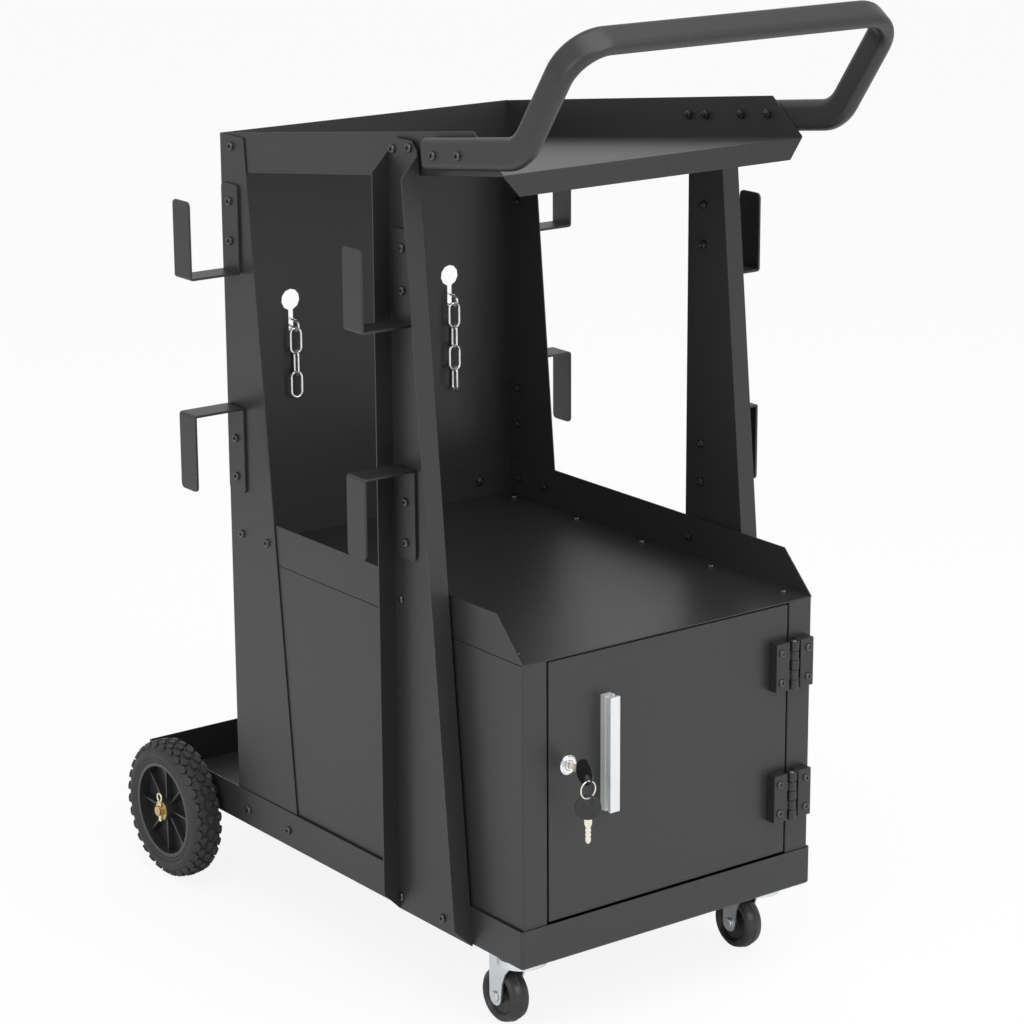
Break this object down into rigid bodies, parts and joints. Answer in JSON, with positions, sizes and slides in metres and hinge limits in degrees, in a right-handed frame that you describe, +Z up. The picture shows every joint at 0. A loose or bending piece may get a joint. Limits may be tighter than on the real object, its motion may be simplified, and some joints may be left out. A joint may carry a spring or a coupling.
{
  "type": "welding cart",
  "caption": "Sheet-metal welding cart with lockable cabinet, open bay, angled top tray, gas-bottle shelf with safety chain, cable hooks, push handle, swivel casters and rear wheels.",
  "frame": {"origin": "centre of the bounding box on the ground", "axes": "+Z up, +Y towards the gas-bottle shelf at the rear, +X to the right when facing the door"},
  "size_m": [0.578, 0.9344, 1.1685],
  "materials": {
    "coat": "semi-matte black powder coat",
    "zinc": "bright zinc plate",
    "yellow_zinc": "yellow zinc plate",
    "chrome": "polished chrome",
    "satin_aluminium": "satin",
    "tyre": "matte rubber",
    "plastic": "moulded black"
  },
  "bodies": {
    "cart": {"base_tray": "coat", "axle_channel": "coat", "cabinet_right_panel": "coat", "cabinet_left_panel": "coat", "middle_tray": "coat", "top_tray": "coat", "back_panel": "coat", "front_post_right": "coat", "front_post_left": "coat", "push_handle": "coat", "hook_front_right_upper": "coat", "hook_front_right_lower": "coat", "hook_front_left_upper": "coat", "hook_front_left_lower": "coat", "hook_rear_right_upper": "coat", "hook_rear_right_lower": "coat", "hook_rear_left_upper": "coat", "hook_rear_left_lower": "coat", "upper_hinge_frame_leaf": "coat", "upper_hinge_pin": "zinc", "lower_hinge_frame_leaf": "coat", "lower_hinge_pin": "zinc", "caster_left_plate": "zinc", "caster_right_plate": "zinc", "rear_axle": "yellow_zinc", "rear_left_washer": "yellow_zinc", "rear_left_cotter_pin": "yellow_zinc", "rear_right_washer": "yellow_zinc", "rear_right_cotter_pin": "yellow_zinc", "chain_left_slot_link": "zinc", "chain_right_slot_link": "zinc"},
    "door": {"door": "coat", "door_pull": "satin_aluminium", "upper_hinge_door_leaf": "coat", "lower_hinge_door_leaf": "coat", "lock_barrel": "chrome"},
    "lock_cylinder": {"lock_plug": "chrome", "lock_cam": "zinc", "lock_key": "zinc"},
    "key_ring": {"key_ring": "zinc"},
    "spare_key": {"spare_key": "zinc"},
    "caster_left_swivel": {"caster_left_fork": "zinc", "caster_left_axle": "zinc"},
    "caster_left_roller": {"caster_left_wheel": "plastic"},
    "rear_left_wheel": {"rear_left_tyre": "tyre", "rear_left_hub": "plastic"},
    "caster_right_swivel": {"caster_right_fork": "zinc", "caster_right_axle": "zinc"},
    "caster_right_roller": {"caster_right_wheel": "plastic"},
    "rear_right_wheel": {"rear_right_tyre": "tyre", "rear_right_hub": "plastic"},
    "chain_loop": {"chain_rear_loop": "zinc"},
    "chain_left_1": {"chain_left_link_1": "zinc"},
    "chain_left_2": {"chain_left_link_2": "zinc"},
    "chain_left_3": {"chain_left_link_3": "zinc"},
    "chain_right_1": {"chain_right_link_1": "zinc"},
    "chain_right_2": {"chain_right_link_2": "zinc"},
    "chain_right_3": {"chain_right_link_3": "zinc"},
    "chain_right_4": {"chain_right_link_4": "zinc"}
  },
  "joints": [
    {"name": "door_hinge", "type": "hinge", "parent": "cart", "child": "door", "pos_m": [0.1768, -0.35797, 0.30535], "axis": [0, 0, 1], "range_deg": [0, 150]},
    {"name": "lock_turn", "type": "hinge", "parent": "door", "child": "lock_cylinder", "pos_m": [-0.1494, -0.34032, 0.3323], "axis": [0, 1, 0], "range_deg": [0, 90]},
    {"name": "key_ring_swing", "type": "hinge", "parent": "lock_cylinder", "child": "key_ring", "pos_m": [-0.1494, -0.38398, 0.32361], "axis": [1, 0, 0], "range_deg": [-40, 15]},
    {"name": "spare_key_swing", "type": "hinge", "parent": "key_ring", "child": "spare_key", "pos_m": [-0.1494, -0.38398, 0.30297], "axis": [1, 0, 0], "range_deg": [-20, 12]},
    {"name": "caster_left_turn", "type": "hinge", "parent": "cart", "child": "caster_left_swivel", "pos_m": [-0.177, -0.29677, 0.09], "axis": [0, 0, 1], "continuous": true},
    {"name": "caster_left_roll", "type": "hinge", "parent": "caster_left_swivel", "child": "caster_left_roller", "pos_m": [-0.177, -0.26477, 0.034], "axis": [1, 0, 0], "continuous": true},
    {"name": "rear_left_roll", "type": "hinge", "parent": "cart", "child": "rear_left_wheel", "pos_m": [-0.242, 0.36223, 0.09], "axis": [1, 0, 0], "continuous": true},
    {"name": "caster_right_turn", "type": "hinge", "parent": "cart", "child": "caster_right_swivel", "pos_m": [0.177, -0.29677, 0.09], "axis": [0, 0, 1], "continuous": true},
    {"name": "caster_right_roll", "type": "hinge", "parent": "caster_right_swivel", "child": "caster_right_roller", "pos_m": [0.177, -0.26477, 0.034], "axis": [1, 0, 0], "continuous": true},
    {"name": "rear_right_roll", "type": "hinge", "parent": "cart", "child": "rear_right_wheel", "pos_m": [0.242, 0.36223, 0.09], "axis": [1, 0, 0], "continuous": true},
    {"name": "chain_loop_swing", "type": "hinge", "parent": "cart", "child": "chain_loop", "pos_m": [0, 0.25694, 0.722], "axis": [1, 0, 0], "range_deg": [0, 40]},
    {"name": "chain_left_1_swing", "type": "hinge", "parent": "cart", "child": "chain_left_1", "pos_m": [-0.12, 0.23843, 0.722], "axis": [0, 1, 0], "range_deg": [-30, 30]},
    {"name": "chain_left_2_swing", "type": "hinge", "parent": "chain_left_1", "child": "chain_left_2", "pos_m": [-0.12, 0.23843, 0.6943], "axis": [0.9781, -0.2079, 0], "range_deg": [-40, 0]},
    {"name": "chain_left_3_swing", "type": "hinge", "parent": "chain_left_2", "child": "chain_left_3", "pos_m": [-0.12, 0.23843, 0.6666], "axis": [0.2079, 0.9781, 0], "range_deg": [-30, 30]},
    {"name": "chain_right_1_swing", "type": "hinge", "parent": "cart", "child": "chain_right_1", "pos_m": [0.12, 0.23843, 0.722], "axis": [0, 1, 0], "range_deg": [-30, 30]},
    {"name": "chain_right_2_swing", "type": "hinge", "parent": "chain_right_1", "child": "chain_right_2", "pos_m": [0.12, 0.23843, 0.6943], "axis": [0.9781, -0.2079, 0], "range_deg": [-40, 0]},
    {"name": "chain_right_3_swing", "type": "hinge", "parent": "chain_right_2", "child": "chain_right_3", "pos_m": [0.12, 0.23843, 0.6666], "axis": [0.2079, 0.9781, 0], "range_deg": [-30, 0]},
    {"name": "chain_right_4_swing", "type": "hinge", "parent": "chain_right_3", "child": "chain_right_4", "pos_m": [0.12, 0.23843, 0.6389], "axis": [0.9781, -0.2079, 0], "range_deg": [-40, 0]}
  ]
}
